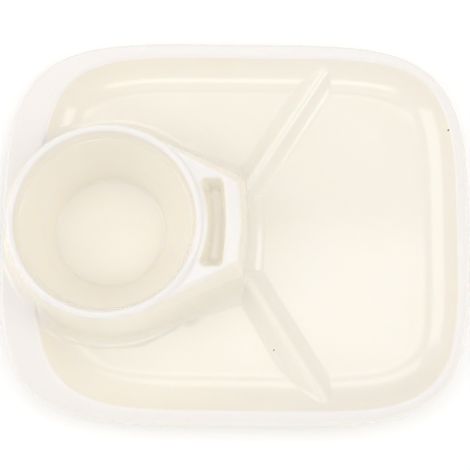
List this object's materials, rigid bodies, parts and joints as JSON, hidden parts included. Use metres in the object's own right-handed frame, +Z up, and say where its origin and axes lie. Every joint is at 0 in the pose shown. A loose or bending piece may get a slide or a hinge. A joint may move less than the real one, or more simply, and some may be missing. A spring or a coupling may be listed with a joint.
{
  "type": "divided meal tray with cup",
  "caption": "One-piece moulded cream meal tray with a standing round cup, a finger slot beside it and shallow food compartments parted by low ridges.",
  "frame": {"origin": "on the surface that the tray stands on, under the middle of its outline", "axes": "+X to the right along the long side, away from the cup; +Y across the tray to its back edge; +Z up"},
  "size_m": [0.28, 0.232, 0.046],
  "materials": {
    "cream_melamine": "glossy cream moulded plastic with a faintly warm depth"
  },
  "bodies": {
    "root": {"tray": "cream_melamine"}
  },
  "joints": []
}
